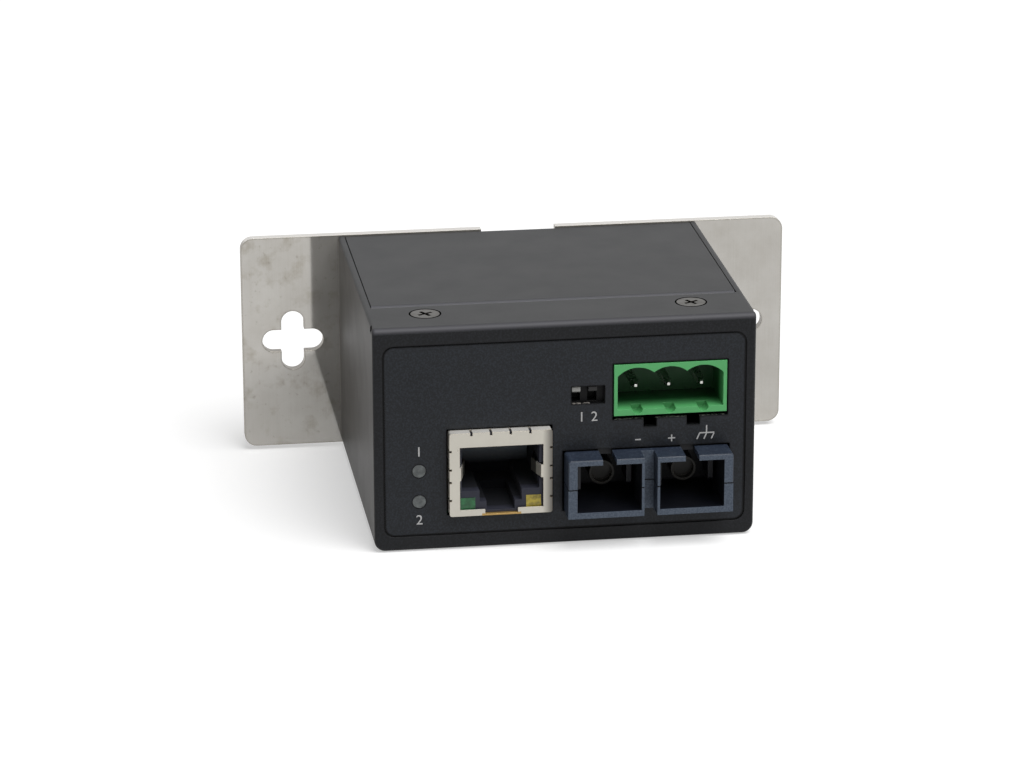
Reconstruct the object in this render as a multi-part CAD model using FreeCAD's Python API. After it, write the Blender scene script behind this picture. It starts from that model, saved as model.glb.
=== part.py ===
"""Compact industrial fibre media converter with a wall bracket.

A folded steel tub (front, sides, bottom and a strip of the top) is closed by an L-shaped lid
whose tongue slips under the strip. Two circuit boards inside carry a shielded network jack,
a duplex optical transceiver, a three-pole power header and a two-lever setting switch.

Working frame: X to the right, Y into the case from the front face, Z up from the case bottom,
X = 0 in the middle of the case. save() moves everything so that the origin ends up at the
centre of the whole object's footprint.
"""
import FreeCAD
import Part
import math
import os

V = FreeCAD.Vector
X_AXIS = V(1, 0, 0)
Y_AXIS = V(0, 1, 0)
Z_AXIS = V(0, 0, 1)

# --- case -----------------------------------------------------------------------------------
CASE_W = 58.6
CASE_D = 50.2
CASE_H = 35.5
SHEET = 1.0
SEAM = 0.15            # gap between the lid and the side walls
STRIP_D = 10.9         # depth of the strip of top that is folded back from the front
BOTTOM_R = 1.7         # outside bend between the sides and the bottom
FRONT_R = 0.5          # outside bend of the front's side and bottom edges
BROW_R = 0.9           # outside bend of the front's top edge
HALF_W = CASE_W / 2
LID_HALF_W = HALF_W - SHEET - SEAM

SLIT_W = 0.24          # corner relief where the strip meets the outside of each side
SLIT_Y = (0.9, 2.6)

# --- lid ------------------------------------------------------------------------------------
TONGUE_Y = 2.8
JOG_Y = STRIP_D + 0.1
JOG_RUN = 0.9          # length of the joggle that lifts the tongue up to the top
JOG_R = 0.5
LID_BACK_R = 0.6
LID_CORNER_R = 1.0
FLANGE_Y = 42.4

# --- fasteners ------------------------------------------------------------------------------
TOP_SCREW_X = 20.45
TOP_SCREW_Y = 7.0
BOTTOM_SCREW_Y = 46.0
M25_R = 1.25
M25_HEAD_R = 2.25
M25_LENGTH = 4.0
M25_NUT = (5.0, 2.6)   # across flats, length with the part in the sheet
M3_R = 1.45
M3_HEAD_R = 2.95
M3_LENGTH = 5.0
M3_NUT = (5.5, 3.0)
SCREW_CLEARANCE = 0.1
DRIVE_SPAN = 2.5
DRIVE_BLADE = 0.55
DRIVE_DEPTH = 0.8
DRIVE_TURN = 30        # degrees

# --- wall bracket ---------------------------------------------------------------------------
BRACKET_W = 88.7
BRACKET_T = 1.5
BRACKET_Z0 = 0.5
BRACKET_Z1 = 35.7
BRACKET_R = 2.0
BRACKET_SHIFT = -0.7   # the plate sits a little left of the case
CROSS_X = 36.2         # from the plate's middle
CROSS_Z = 18.3
CROSS_SLOT = 3.7
CROSS_LENGTH = 9.9
TOP_NOTCH_W = 12.1
TOP_NOTCH_H = 3.0
TOP_NOTCH_R = 1.0
BRACKET_SCREW_X = 18.0

# --- face overlay, in a shallow pocket of the front -----------------------------------------
POCKET_DEPTH = 0.3
POCKET_GAP = 0.25
OVERLAY_T = 0.22
OVERLAY_HALF_W = 27.6
OVERLAY_Z = (2.5, 32.5)
OVERLAY_R = 1.5

# --- boards ---------------------------------------------------------------------------------
BOARD_HALF_W = 26.5
BOARD_Y1 = 42.0
MAIN_Y0 = 1.5
MAIN_TOP = 5.65
MAIN_T = 1.6
POWER_Y0 = 3.0
POWER_TOP = 20.05
POWER_T = 1.0
POWER_X0 = -24.5
POST_PLACES = ((-21.5, 38.5), (22.5, 38.5))
POST_FLATS = 5.0
POST_SCREW_R = 1.25
POST_BORE_R = 1.3
POST_ENGAGE = 2.4      # how far a post's long screw goes into the standoff
POST_HEAD = (4.5, 1.7)  # across flats, height
PIN_REACH = 1.2        # how far soldered pins stand out under a board
SMALL_PIN = 0.5
LINK_PINS = 4
LINK_X = 1.3
LINK_Y = 38.45
LINK_PIN = 0.64
LINK_HALF_D = 1.25
LINK_HEIGHTS = (8.5, 2.54)
PIN_PITCH = 2.54

# --- network jack ---------------------------------------------------------------------------
JACK_X0 = -17.95
JACK_X1 = -2.2
JACK_Z1 = 18.95
JACK_NOSE = 1.5
JACK_Y1 = 16.8
JACK_SHEET = 0.25
JACK_MOUTH_X = (-16.35, -3.6)
JACK_MOUTH_Z = (6.63, 16.67)
JACK_GAP_X = (-12.5, -7.5)
JACK_FACE_Y = -0.9
PLUG_HALF_W = 5.95
PLUG_Z = (9.45, 16.4)
LATCH_HALF_W = 3.22
LATCH_Z = 7.7
TAIL_HALF_W = 2.15
TAIL_Z = 6.3
PLUG_Y1 = 12.5
TAIL_Y1 = 8.5
FOOT_Y = 6.0           # the can is open below, behind this depth
JACK_CORNER_R = 0.4
NICK_W = 0.34
NICK_DEPTH = 0.5
TOP_NICKS = (-4.5, -1.5, 1.5, 4.5)
SIDE_NICK = (0.25, 0.35)
SIDE_NICKS = (8.25, 11.15, 13.15, 16.1)
NICK_Y1 = 0.2
LEAF_Z = (11.35, 13.35)
LEAF_RISE = 1.35       # how far a sprung leaf leans into the mouth
LEAF_Y = (2.2, 5.2)
LEAF_T = 0.2
LEAF_ROOM = 0.55       # recess in the plastic behind each leaf
LEAF_CLEAR = 0.2
EAR_W = 0.35
LIGHT_WINDOW_X = 5.05  # from the jack's middle
LIGHT_WINDOW = (2.3, 6.2, 8.4)
LIGHT_WINDOW_Y = (-0.95, 7.0)
CONTACT_PITCH = 1.02
CONTACT_W = 0.4
CONTACT_Y = (4.2, 5.0)
CONTACT_END = (11.4, 13.2, 13.55)
JACK_PIN_ROWS = (11.5, 14.0)
JACK_X = (JACK_X0 + JACK_X1) / 2

# --- optical transceiver --------------------------------------------------------------------
OPTIC_X = 12.5
OPTIC_HALF_W = 12.7
OPTIC_NOSE = 4.4
OPTIC_Z0 = 5.33
OPTIC_Z1 = 14.65
OPTIC_SPLIT_Z = 9.96
PORT_PITCH = 12.7
PORT_HALF_W = 4.95
PORT_Z = (6.27, 13.8)
PORT_GAP_HALF_W = 1.0
WEB_Y = -1.0
KEY_W = 2.1
KEY_Y1 = 0.8
LEDGES = (0.55, 0.25)  # the upper shell's thicker left wall in each port
LEDGE_Y = 0.6
NOSE_BEVEL = 0.15      # on the top front edges
NOSE_CORNER_R = 0.4
SPLIT_GROOVE = (0.16, 0.2)  # height and depth of the groove where the halves meet
PORT_Y1 = 9.0
OPTIC_Y1 = 34.7
OPTIC_TOP = 15.3
LATCH_PLATE = (4.4, 3.2, 1.0)  # half width, half height, thickness
ARM_X = (3.6, 4.4)
ARM_Y = (2.0, 3.4)
ARM_T = 0.5
ARM_H = 3.6
ARM_CHAMFER = 0.5
SLEEVE_R = 1.95
SLEEVE_BORE_R = 1.6
SLEEVE_Y = 3.2
SLEEVE_FLOOR_Y = 4.4
OPTIC_PIN_Y = 31.0
OPTIC_PEG_X = 10.16
OPTIC_PEG_Y = 12.0
OPTIC_PEG = 1.4

# --- power header ---------------------------------------------------------------------------
POLE_PITCH = 5.08
POLE_X = (11.07, 11.07 + POLE_PITCH, 11.07 + 2 * POLE_PITCH)
HEADER_X0 = 7.46
HEADER_X1 = 24.84
HEADER_Z1 = 28.2
HEADER_Y1 = 11.8
HEADER_CAVITY_Y1 = 8.6
HEADER_FLOOR_Z = 21.03
HEADER_SIDE = 0.54
HEADER_CUT_Z = 19.42   # lower edge of the panel's opening
HEADER_NOTCH_X = (13.05, 19.73)
HEADER_NOTCH_HALF_W = 1.0
HEADER_NOTCH_Z = 18.1
DOME_TOP_Z = 27.65
DOME_R = 4.2
POLE_Z = 24.24
POLE_TIP_Y = 1.7
POLE_TIP = 0.4         # the tip's width, and the length of its taper
POLE_TAPER = 1.2
POLE_SIZE = 1.0
POLE_DROP_Y = 13.2
GROOVE_R = 0.82        # half-round coding grooves in the floor
GROOVE_Y1 = 2.5

# --- setting switch -------------------------------------------------------------------------
DIP_X = 2.97
DIP_PITCH = 2.54
DIP_HALF_W = 3.75
DIP_Y0 = 1.3
DIP_Y1 = 6.3
DIP_Z1 = 29.0
DIP_WINDOW_X = (0.91, 6.06)
DIP_WINDOW_Z = (22.2, 25.06)
DIP_PIN_Y = (3.5, 6.04)
LEVER_W = 1.3
LEVER_H = 0.93
LEVER_Z0 = 24.05
LEVER_Y = (0.35, 3.3)
LEVER_TRAVEL = 1.65
LEVER_GAP = 0.06
LEVER_CHAMFER = 0.15

# --- status lights --------------------------------------------------------------------------
LIGHT_X = -22.4
LIGHT_Z = (12.7, 7.8)
LIGHT_R = 1.0
LIGHT_Y0 = 0.1
LIGHT_GAP = 0.05
LIGHT_SLOT = (1.5, 6.4, 14.1)  # half width and heights of the panel's slot behind the film
HOLDER_HALF_W = 2.0
HOLDER_Y = (2.2, 6.8)
HOLDER_TOP = 14.6

# --- parts on the boards: x0, x1, y0, y1 and height -----------------------------------------
MAGNETICS = (-18.0, -3.0, 19.5, 28.5, 5.6)
CHIP = (-16.0, -6.0, 30.0, 40.0, 1.6)
CHIP_LEADS = 1.0
CHIP_LEAD_T = 0.15
CRYSTAL = (-24.5, -19.5, 24.0, 27.2, 1.1)
INDUCTOR = (3.0, 13.0, 20.0, 30.0, 4.5)
INDUCTOR_CHAMFER = 1.6
REGULATOR = (18.0, 24.5, 21.0, 24.5, 1.6)
REGULATOR_TAB = (19.7, 22.8, 19.3, 26.2, 0.3)
CAPACITOR = (-12.0, -4.7, 0, 4.3, 2.9)
CAPACITOR_Y = (10.0, 18.0)

CUT_GAP = 0.22         # clearance between a connector and the panel round it


def box(x0, x1, y0, y1, z0, z1):
    """Block between two corners."""
    return Part.makeBox(x1 - x0, y1 - y0, z1 - z0, V(x0, y0, z0))


def rod(x, y, z, radius, length, axis=Z_AXIS):
    """Round bar from a point along an axis."""
    return Part.makeCylinder(radius, length, V(x, y, z), axis)


def prism(points, direction):
    """Solid between a closed outline and its copy moved by a vector."""
    return Part.Face(Part.makePolygon(points + points[:1])).extrude(direction)


def edges_along(shape, axis):
    """Straight edges of a shape that run along an axis."""
    found = []
    for edge in shape.Edges:
        straight = edge.Curve.TypeId == "Part::GeomLine"
        if straight and abs(edge.tangentAt(edge.FirstParameter).dot(axis)) > 0.999:
            found.append(edge)
    return found


def rounded(shape, radius, axis, keep=lambda point: True):
    """Shape with its edges along an axis rounded, where keep() says yes of their middle."""
    edges = [edge for edge in edges_along(shape, axis) if keep(edge.CenterOfMass)]
    return shape.makeFillet(radius, edges)


def mirrored(shape, x):
    """Mirror image of a shape across an upright plane."""
    return shape.mirror(V(x, 0, 0), X_AXIS)


def union(shapes):
    """One solid out of touching shapes."""
    return shapes[0].multiFuse(shapes[1:]).removeSplitter()


def facing(shape, place, axis):
    """Shape made along +Z, turned to an axis and moved to a place."""
    turned = shape.copy()
    turned.Placement = FreeCAD.Placement(place, FreeCAD.Rotation(Z_AXIS, axis))
    return turned


def hexagon(flats, height):
    """Hexagonal bar on the origin along +Z."""
    radius = flats / math.sqrt(3)
    turns = [math.radians(60 * k) for k in range(6)]
    return prism([V(radius * math.cos(turn), radius * math.sin(turn), 0) for turn in turns], V(0, 0, height))


def nut(flats, height, bore):
    """Hexagonal nut on the origin along +Z."""
    return hexagon(flats, height).cut(rod(0, 0, -1, bore, height + 2))


def countersunk(radius, head_radius, length):
    """Flat-head screw with its head's face at the origin and its shank along -Z."""
    drop = head_radius - radius
    outline = [V(0, 0, 0), V(head_radius, 0, 0), V(radius, 0, -drop), V(radius, 0, -length), V(0, 0, -length)]
    screw = Part.Face(Part.makePolygon(outline + outline[:1])).revolve(V(0, 0, 0), Z_AXIS, 360)
    half, blade = DRIVE_SPAN / 2, DRIVE_BLADE / 2
    slot = box(-half, half, -blade, blade, -DRIVE_DEPTH, 1)
    cross = slot.fuse(slot.rotated(V(0, 0, 0), Z_AXIS, 90))
    return screw.cut(cross.rotated(V(0, 0, 0), Z_AXIS, DRIVE_TURN))


def screw_seat(radius, head_radius, depth):
    """Cutter for a countersunk hole through a sheet, from the origin along -Z."""
    drop = head_radius - radius
    return Part.makeCone(radius, head_radius, drop, V(0, 0, -drop)).fuse(rod(0, 0, -depth, radius, depth))


def cover_screw_seats():
    """Place and outward axis of each lid screw: two on top, one in the middle of the bottom."""
    top = [(V(x, TOP_SCREW_Y, CASE_H), Z_AXIS) for x in (-TOP_SCREW_X, TOP_SCREW_X)]
    return top + [(V(0, BOTTOM_SCREW_Y, 0), -Z_AXIS)]


def bracket_screw_seats():
    """Place and outward axis of each bracket screw."""
    return [(V(x, CASE_D + BRACKET_T, CROSS_Z), Y_AXIS) for x in (-BRACKET_SCREW_X, BRACKET_SCREW_X)]


def connector_cutouts(y0, y1):
    """Cutter for the connectors' and the switch's openings in the front panel and the film."""
    jack = box(JACK_X0 - CUT_GAP, JACK_X1 + CUT_GAP, y0, y1, MAIN_TOP - CUT_GAP, JACK_Z1 + CUT_GAP)
    optic = box(OPTIC_X - OPTIC_HALF_W - CUT_GAP, OPTIC_X + OPTIC_HALF_W + CUT_GAP, y0, y1,
                OPTIC_Z0 - CUT_GAP, OPTIC_Z1 + CUT_GAP)
    header = box(HEADER_X0 - CUT_GAP, HEADER_X1 + CUT_GAP, y0, y1, HEADER_CUT_Z, HEADER_Z1 + CUT_GAP)
    half, top = HEADER_NOTCH_HALF_W, HEADER_CUT_Z + CUT_GAP
    notches = [box(x - half, x + half, y0, y1, HEADER_NOTCH_Z, top) for x in HEADER_NOTCH_X]
    switch = box(*DIP_WINDOW_X, y0, y1, *DIP_WINDOW_Z)
    return Part.makeCompound([jack, optic, header.multiFuse(notches), switch])


def face_panel(grow, y0, y1):
    """Plate of the film's outline, grown by a margin all round."""
    half_w = OVERLAY_HALF_W + grow
    plate = box(-half_w, half_w, y0, y1, OVERLAY_Z[0] - grow, OVERLAY_Z[1] + grow)
    return rounded(plate, OVERLAY_R + grow, Y_AXIS)


def tub_block():
    """Outer form of the tub with its bends."""
    outer = rounded(box(-HALF_W, HALF_W, 0, CASE_D, 0, CASE_H), BOTTOM_R, Y_AXIS, lambda p: p.z < 1)
    outer = rounded(outer, BROW_R, X_AXIS, lambda p: p.y < 0.1 and p.z > 1)
    front = [edge for edge in outer.Edges
             if edge.BoundBox.YMax < 0.01 and edge.CenterOfMass.z < CASE_H - BROW_R - 0.01]
    return outer.makeFillet(FRONT_R, front)


def front_shell():
    """Steel tub: front, sides, bottom and the strip of top above the connectors."""
    inner_w = HALF_W - SHEET
    room = box(-inner_w, inner_w, SHEET, CASE_D + 1, SHEET, CASE_H - SHEET)
    room = rounded(room, BOTTOM_R - SHEET, Y_AXIS, lambda p: p.z < 2)
    mouth = box(-inner_w, inner_w, STRIP_D, CASE_D + 1, CASE_H / 2, CASE_H + 1)
    shell = tub_block().cut(room.fuse(mouth))
    lights = box(LIGHT_X - LIGHT_SLOT[0], LIGHT_X + LIGHT_SLOT[0], -1, 2 * SHEET, *LIGHT_SLOT[1:])
    shell = shell.cut(face_panel(POCKET_GAP, -1, POCKET_DEPTH))
    shell = shell.cut(connector_cutouts(-1, 2 * SHEET)).cut(lights)
    slit = box(HALF_W - SLIT_W, HALF_W + 1, *SLIT_Y, CASE_H - SHEET, CASE_H + 1)
    shell = shell.cut(slit).cut(mirrored(slit, 0))
    seat = screw_seat(M25_R, M25_HEAD_R, 2 * SHEET)
    for place, axis in cover_screw_seats():
        shell = shell.cut(facing(seat, place, axis))
    return shell


def rear_cover():
    """Lid: joggled tongue, top, back and a short flange on the bottom."""
    top, under = CASE_H, CASE_H - SHEET
    low, back = CASE_H - 2 * SHEET, CASE_D - SHEET
    jog_inner = JOG_Y + 0.4 * SHEET
    profile = [(TONGUE_Y, under), (JOG_Y, under), (JOG_Y + JOG_RUN, top), (CASE_D, top), (CASE_D, SHEET),
               (FLANGE_Y, SHEET), (FLANGE_Y, 2 * SHEET), (back, 2 * SHEET), (back, under),
               (jog_inner + JOG_RUN, under), (jog_inner, low), (TONGUE_Y, low)]
    lid = prism([V(-LID_HALF_W, y, z) for y, z in profile], V(2 * LID_HALF_W, 0, 0))
    lid = rounded(lid, LID_BACK_R, X_AXIS, lambda p: p.y > CASE_D - 0.1)
    lid = rounded(lid, JOG_R, X_AXIS, lambda p: p.z > top - 0.1 and p.y < CASE_D / 2)
    outline = box(-LID_HALF_W, LID_HALF_W, 0, CASE_D, SHEET, CASE_H + 1)
    lid = lid.common(rounded(outline, LID_CORNER_R, Y_AXIS, lambda p: p.z < 2))
    return lid.cut(cover_nuts(hollow=False)).cut(bracket_nuts(hollow=False))


def face_overlay():
    """Printed film in the pocket of the front, with round holes for the lights."""
    film = face_panel(0, POCKET_DEPTH - OVERLAY_T, POCKET_DEPTH).cut(connector_cutouts(-1, SHEET))
    lights = [rod(LIGHT_X, -1, z, LIGHT_R + LIGHT_GAP, 2, Y_AXIS) for z in LIGHT_Z]
    return film.cut(Part.makeCompound(lights))


def cross_slot(x):
    """Cutter for a cross of two round-ended slots through the bracket."""
    y0, y1 = CASE_D - 1, CASE_D + BRACKET_T + 1
    long_half, short_half = CROSS_LENGTH / 2, CROSS_SLOT / 2
    level = box(x - long_half, x + long_half, y0, y1, CROSS_Z - short_half, CROSS_Z + short_half)
    upright = box(x - short_half, x + short_half, y0, y1, CROSS_Z - long_half, CROSS_Z + long_half)
    round_end = short_half - 0.001
    return rounded(level, round_end, Y_AXIS).fuse(rounded(upright, round_end, Y_AXIS))


def mounting_bracket():
    """Flat steel plate behind the case, with a cross slot in each wing."""
    half = BRACKET_W / 2
    x0, x1 = BRACKET_SHIFT - half, BRACKET_SHIFT + half
    plate = box(x0, x1, CASE_D, CASE_D + BRACKET_T, BRACKET_Z0, BRACKET_Z1)
    plate = rounded(plate, BRACKET_R, Y_AXIS)
    notch = box(-TOP_NOTCH_W / 2, TOP_NOTCH_W / 2, 0, CASE_D + 5, BRACKET_Z1 - TOP_NOTCH_H, BRACKET_Z1 + 5)
    plate = plate.cut(rounded(notch, TOP_NOTCH_R, Y_AXIS, lambda p: p.z < BRACKET_Z1))
    for side in (-1, 1):
        plate = plate.cut(cross_slot(BRACKET_SHIFT + side * CROSS_X))
    seat = screw_seat(M3_R, M3_HEAD_R, BRACKET_T + 1)
    for place, axis in bracket_screw_seats():
        plate = plate.cut(facing(seat, place, axis))
    return plate


def cover_screws():
    """Flat-head screws that hold the lid."""
    screw = countersunk(M25_R, M25_HEAD_R, M25_LENGTH)
    return Part.makeCompound([facing(screw, place, axis) for place, axis in cover_screw_seats()])


def bracket_screws():
    """Flat-head screws through the wall bracket."""
    screw = countersunk(M3_R, M3_HEAD_R, M3_LENGTH)
    return Part.makeCompound([facing(screw, place, axis) for place, axis in bracket_screw_seats()])


def nuts_behind(seats, sheet, size, bore):
    """Hexagonal press nuts that start behind the outer sheet at each screw; their solid form with no bore."""
    piece = nut(*size, bore) if bore else hexagon(*size)
    return Part.makeCompound([facing(piece, place - axis * sheet, -axis) for place, axis in seats])


def cover_nuts(hollow=True):
    """Press nuts in the lid's tongue and in its bottom flange."""
    return nuts_behind(cover_screw_seats(), SHEET, M25_NUT, hollow * (M25_R + SCREW_CLEARANCE / 2))


def bracket_nuts(hollow=True):
    """Press nuts in the lid's back."""
    return nuts_behind(bracket_screw_seats(), BRACKET_T, M3_NUT, hollow * (M3_R + SCREW_CLEARANCE / 2))


def square_pin(x, y, z0, z1, size):
    """Upright square pin centred on a place."""
    half = size / 2
    return box(x - half, x + half, y - half, y + half, z0, z1)


def jack_pins():
    """Two staggered rows of solder pins under the network jack."""
    bottom = MAIN_TOP - MAIN_T - PIN_REACH
    pins = []
    for index in range(8):
        x = JACK_X + (index - 3.5) * CONTACT_PITCH
        pins.append(square_pin(x, JACK_PIN_ROWS[index % 2], bottom, MAIN_TOP, SMALL_PIN))
    return Part.makeCompound(pins)


def optic_pins():
    """Row of nine pins and two locating pegs under the transceiver."""
    bottom = MAIN_TOP - MAIN_T - PIN_REACH
    pins = [square_pin(OPTIC_X + (index - 4) * PIN_PITCH, OPTIC_PIN_Y, bottom, MAIN_TOP, SMALL_PIN)
            for index in range(9)]
    pegs = [square_pin(OPTIC_X + side * OPTIC_PEG_X, OPTIC_PEG_Y, bottom, MAIN_TOP, OPTIC_PEG)
            for side in (-1, 1)]
    return Part.makeCompound(pins + pegs)


def link_pins():
    """Pins that join the two boards."""
    bottom = MAIN_TOP - MAIN_T - PIN_REACH
    top = POWER_TOP + PIN_REACH
    return Part.makeCompound([square_pin(LINK_X + index * PIN_PITCH, LINK_Y, bottom, top, LINK_PIN)
                              for index in range(LINK_PINS)])


def header_pin(x):
    """Right-angle power pin with a tapered tip."""
    half, tip = POLE_SIZE / 2, POLE_TIP / 2
    shoulder = POLE_TIP_Y + POLE_TAPER
    taper = Part.makeWedge(x - tip, POLE_TIP_Y, POLE_Z - tip, POLE_Z - half, x - half,
                           x + tip, shoulder, POLE_Z + tip, POLE_Z + half, x + half)
    level = box(x - half, x + half, shoulder, POLE_DROP_Y + POLE_SIZE, POLE_Z - half, POLE_Z + half)
    drop = box(x - half, x + half, POLE_DROP_Y, POLE_DROP_Y + POLE_SIZE,
               POWER_TOP - POWER_T - PIN_REACH, POLE_Z + half)
    return union([taper, level, drop])


def header_pins():
    """Three right-angle power pins."""
    return Part.makeCompound([header_pin(x) for x in POLE_X])


def dip_pins():
    """Four pins under the setting switch."""
    bottom = POWER_TOP - POWER_T - PIN_REACH
    return Part.makeCompound([square_pin(x, y, bottom, POWER_TOP, SMALL_PIN)
                              for x in lever_places() for y in DIP_PIN_Y])


def post_holes():
    """Cutter for the holes of both boards over the posts."""
    return [rod(x, y, 0, POST_BORE_R, CASE_H) for x, y in POST_PLACES]


def main_board():
    """Lower circuit board, drilled for its pins and posts."""
    board = box(-BOARD_HALF_W, BOARD_HALF_W, MAIN_Y0, BOARD_Y1, MAIN_TOP - MAIN_T, MAIN_TOP)
    return board.cut(Part.makeCompound(post_holes() + [jack_pins(), optic_pins(), link_pins()]))


def power_board():
    """Upper circuit board for the power header and the setting switch."""
    board = box(POWER_X0, BOARD_HALF_W, POWER_Y0, BOARD_Y1, POWER_TOP - POWER_T, POWER_TOP)
    return board.cut(Part.makeCompound(post_holes() + [header_pins(), dip_pins(), link_pins()]))


def on_posts(shape, z):
    """A copy of a shape on each post."""
    return Part.makeCompound([facing(shape, V(x, y, z), Z_AXIS) for x, y in POST_PLACES])


def board_standoffs():
    """Hexagonal press-in standoffs on the case bottom."""
    return on_posts(nut(POST_FLATS, MAIN_TOP - MAIN_T - SHEET, POST_BORE_R), SHEET)


def board_spacers():
    """Hexagonal spacers between the boards."""
    return on_posts(nut(POST_FLATS, POWER_TOP - POWER_T - MAIN_TOP, POST_BORE_R), MAIN_TOP)


def board_screws():
    """Long screws through both boards and the spacers into the standoffs."""
    reach = POWER_TOP - MAIN_TOP + MAIN_T + POST_ENGAGE
    return on_posts(union([hexagon(*POST_HEAD), rod(0, 0, -reach, POST_SCREW_R, reach)]), POWER_TOP)


def link_header():
    """Plastic bars of the board-to-board header."""
    half = PIN_PITCH / 2
    x0, x1 = LINK_X - half, LINK_X + LINK_PINS * PIN_PITCH - half
    y0, y1 = LINK_Y - LINK_HALF_D, LINK_Y + LINK_HALF_D
    under = POWER_TOP - POWER_T
    bars = [box(x0, x1, y0, y1, MAIN_TOP, MAIN_TOP + LINK_HEIGHTS[0]),
            box(x0, x1, y0, y1, under - LINK_HEIGHTS[1], under)]
    return Part.makeCompound([bar.cut(link_pins()) for bar in bars])


def ground_leaf():
    """Ear at the right edge of the mouth and the sprung leaf folded back from it."""
    front, back = -JACK_NOSE, JACK_SHEET - JACK_NOSE
    edge = JACK_MOUTH_X[1] - EAR_W
    ear = box(edge, JACK_MOUTH_X[1] + 0.1, front, back, *LEAF_Z)
    crest = JACK_MOUTH_X[1] - LEAF_RISE
    outline = [(edge, front), (crest, LEAF_Y[0]), (edge - LEAF_T, LEAF_Y[1]), (edge, LEAF_Y[1]),
               (crest + LEAF_T, LEAF_Y[0]), (edge + LEAF_T, front)]
    leaf = prism([V(x, y, LEAF_Z[0]) for x, y in outline], V(0, 0, LEAF_Z[1] - LEAF_Z[0]))
    return ear.fuse(leaf)


def jack_nicks():
    """Cutters for the small nicks round the can's front flange."""
    front = -JACK_NOSE - 1
    half, height = NICK_W / 2, SIDE_NICK[0] / 2
    nicks = [box(JACK_X + x - half, JACK_X + x + half, front, NICK_Y1, JACK_Z1 - NICK_DEPTH, JACK_Z1 + 1)
             for x in TOP_NICKS]
    for z in SIDE_NICKS:
        nicks.append(box(JACK_X0 - 1, JACK_X0 + SIDE_NICK[1], front, NICK_Y1, z - height, z + height))
        nicks.append(box(JACK_X1 - SIDE_NICK[1], JACK_X1 + 1, front, NICK_Y1, z - height, z + height))
    return Part.makeCompound(nicks)


def jack_shield():
    """Folded tin can round the network jack, with a sprung ground leaf at each side of its mouth."""
    inset = JACK_SHEET
    can = rounded(box(JACK_X0, JACK_X1, -JACK_NOSE, JACK_Y1, MAIN_TOP, JACK_Z1), JACK_CORNER_R, Y_AXIS)
    room = box(JACK_X0 + inset, JACK_X1 - inset, inset - JACK_NOSE, JACK_Y1 - inset,
               MAIN_TOP + inset, JACK_Z1 - inset)
    mouth = box(*JACK_MOUTH_X, -JACK_NOSE - 1, 1, *JACK_MOUTH_Z)
    gap = box(*JACK_GAP_X, -JACK_NOSE - 1, inset - JACK_NOSE, MAIN_TOP + inset, JACK_MOUTH_Z[0] + 1)
    foot = box(JACK_X0 + inset, JACK_X1 - inset, FOOT_Y, JACK_Y1 - inset, MAIN_TOP - 1, MAIN_TOP + 1)
    can = can.cut(union([room, mouth, gap, foot]))
    leaf = ground_leaf()
    return union([can, leaf, mirrored(leaf, JACK_X)]).cut(jack_nicks())


def jack_light(side):
    """Rectangular light window in a lower corner of the jack."""
    centre = JACK_X + side * LIGHT_WINDOW_X
    width, z0, z1 = LIGHT_WINDOW
    return box(centre - width / 2, centre + width / 2, *LIGHT_WINDOW_Y, z0, z1)


def jack_housing():
    """Plastic body of the network jack with its stepped plug opening."""
    inset = JACK_SHEET
    block = box(JACK_X0 + inset, JACK_X1 - inset, JACK_FACE_Y, JACK_Y1 - inset,
                MAIN_TOP + inset, JACK_Z1 - inset)
    foot = box(JACK_X0 + inset, JACK_X1 - inset, FOOT_Y, JACK_Y1 - inset, MAIN_TOP, MAIN_TOP + inset)
    front = JACK_FACE_Y - 1
    plug = box(JACK_X - PLUG_HALF_W, JACK_X + PLUG_HALF_W, front, PLUG_Y1, *PLUG_Z)
    latch = box(JACK_X - LATCH_HALF_W, JACK_X + LATCH_HALF_W, front, PLUG_Y1, LATCH_Z, PLUG_Z[0] + 1)
    tail = box(JACK_X - TAIL_HALF_W, JACK_X + TAIL_HALF_W, front, TAIL_Y1, TAIL_Z, PLUG_Z[0])
    side = PLUG_HALF_W + LEAF_ROOM
    leaf_room = box(JACK_X - side, JACK_X + side, front, LEAF_Y[1] + LEAF_ROOM,
                    LEAF_Z[0] - LEAF_CLEAR, LEAF_Z[1] + LEAF_CLEAR)
    body = union([block, foot]).cut(union([plug, latch, tail, leaf_room]))
    return body.cut(Part.makeCompound([jack_light(-1), jack_light(1)]))


def jack_contacts():
    """Eight contact springs that slope back from the roof of the plug opening."""
    top = PLUG_Z[1]
    tip_y, tip_z, end_z = CONTACT_END
    profile = [(CONTACT_Y[0], top), (CONTACT_Y[1], top), (PLUG_Y1, end_z), (PLUG_Y1, tip_z), (tip_y, tip_z)]
    springs = []
    for index in range(8):
        x = JACK_X + (index - 3.5) * CONTACT_PITCH - CONTACT_W / 2
        springs.append(prism([V(x, y, z) for y, z in profile], V(CONTACT_W, 0, 0)))
    return Part.makeCompound(springs)


def port_centres():
    """X of the two optical ports."""
    return (OPTIC_X - PORT_PITCH / 2, OPTIC_X + PORT_PITCH / 2)


def optic_block(z0, z1):
    """Outer form of the transceiver's nose between two heights, with the gap between its ports."""
    nose = box(OPTIC_X - OPTIC_HALF_W, OPTIC_X + OPTIC_HALF_W, -OPTIC_NOSE, PORT_Y1, z0, z1)
    gap = box(OPTIC_X - PORT_GAP_HALF_W, OPTIC_X + PORT_GAP_HALF_W, -OPTIC_NOSE - 1, WEB_Y, z0 - 1, z1 + 1)
    return nose.cut(gap)


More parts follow.
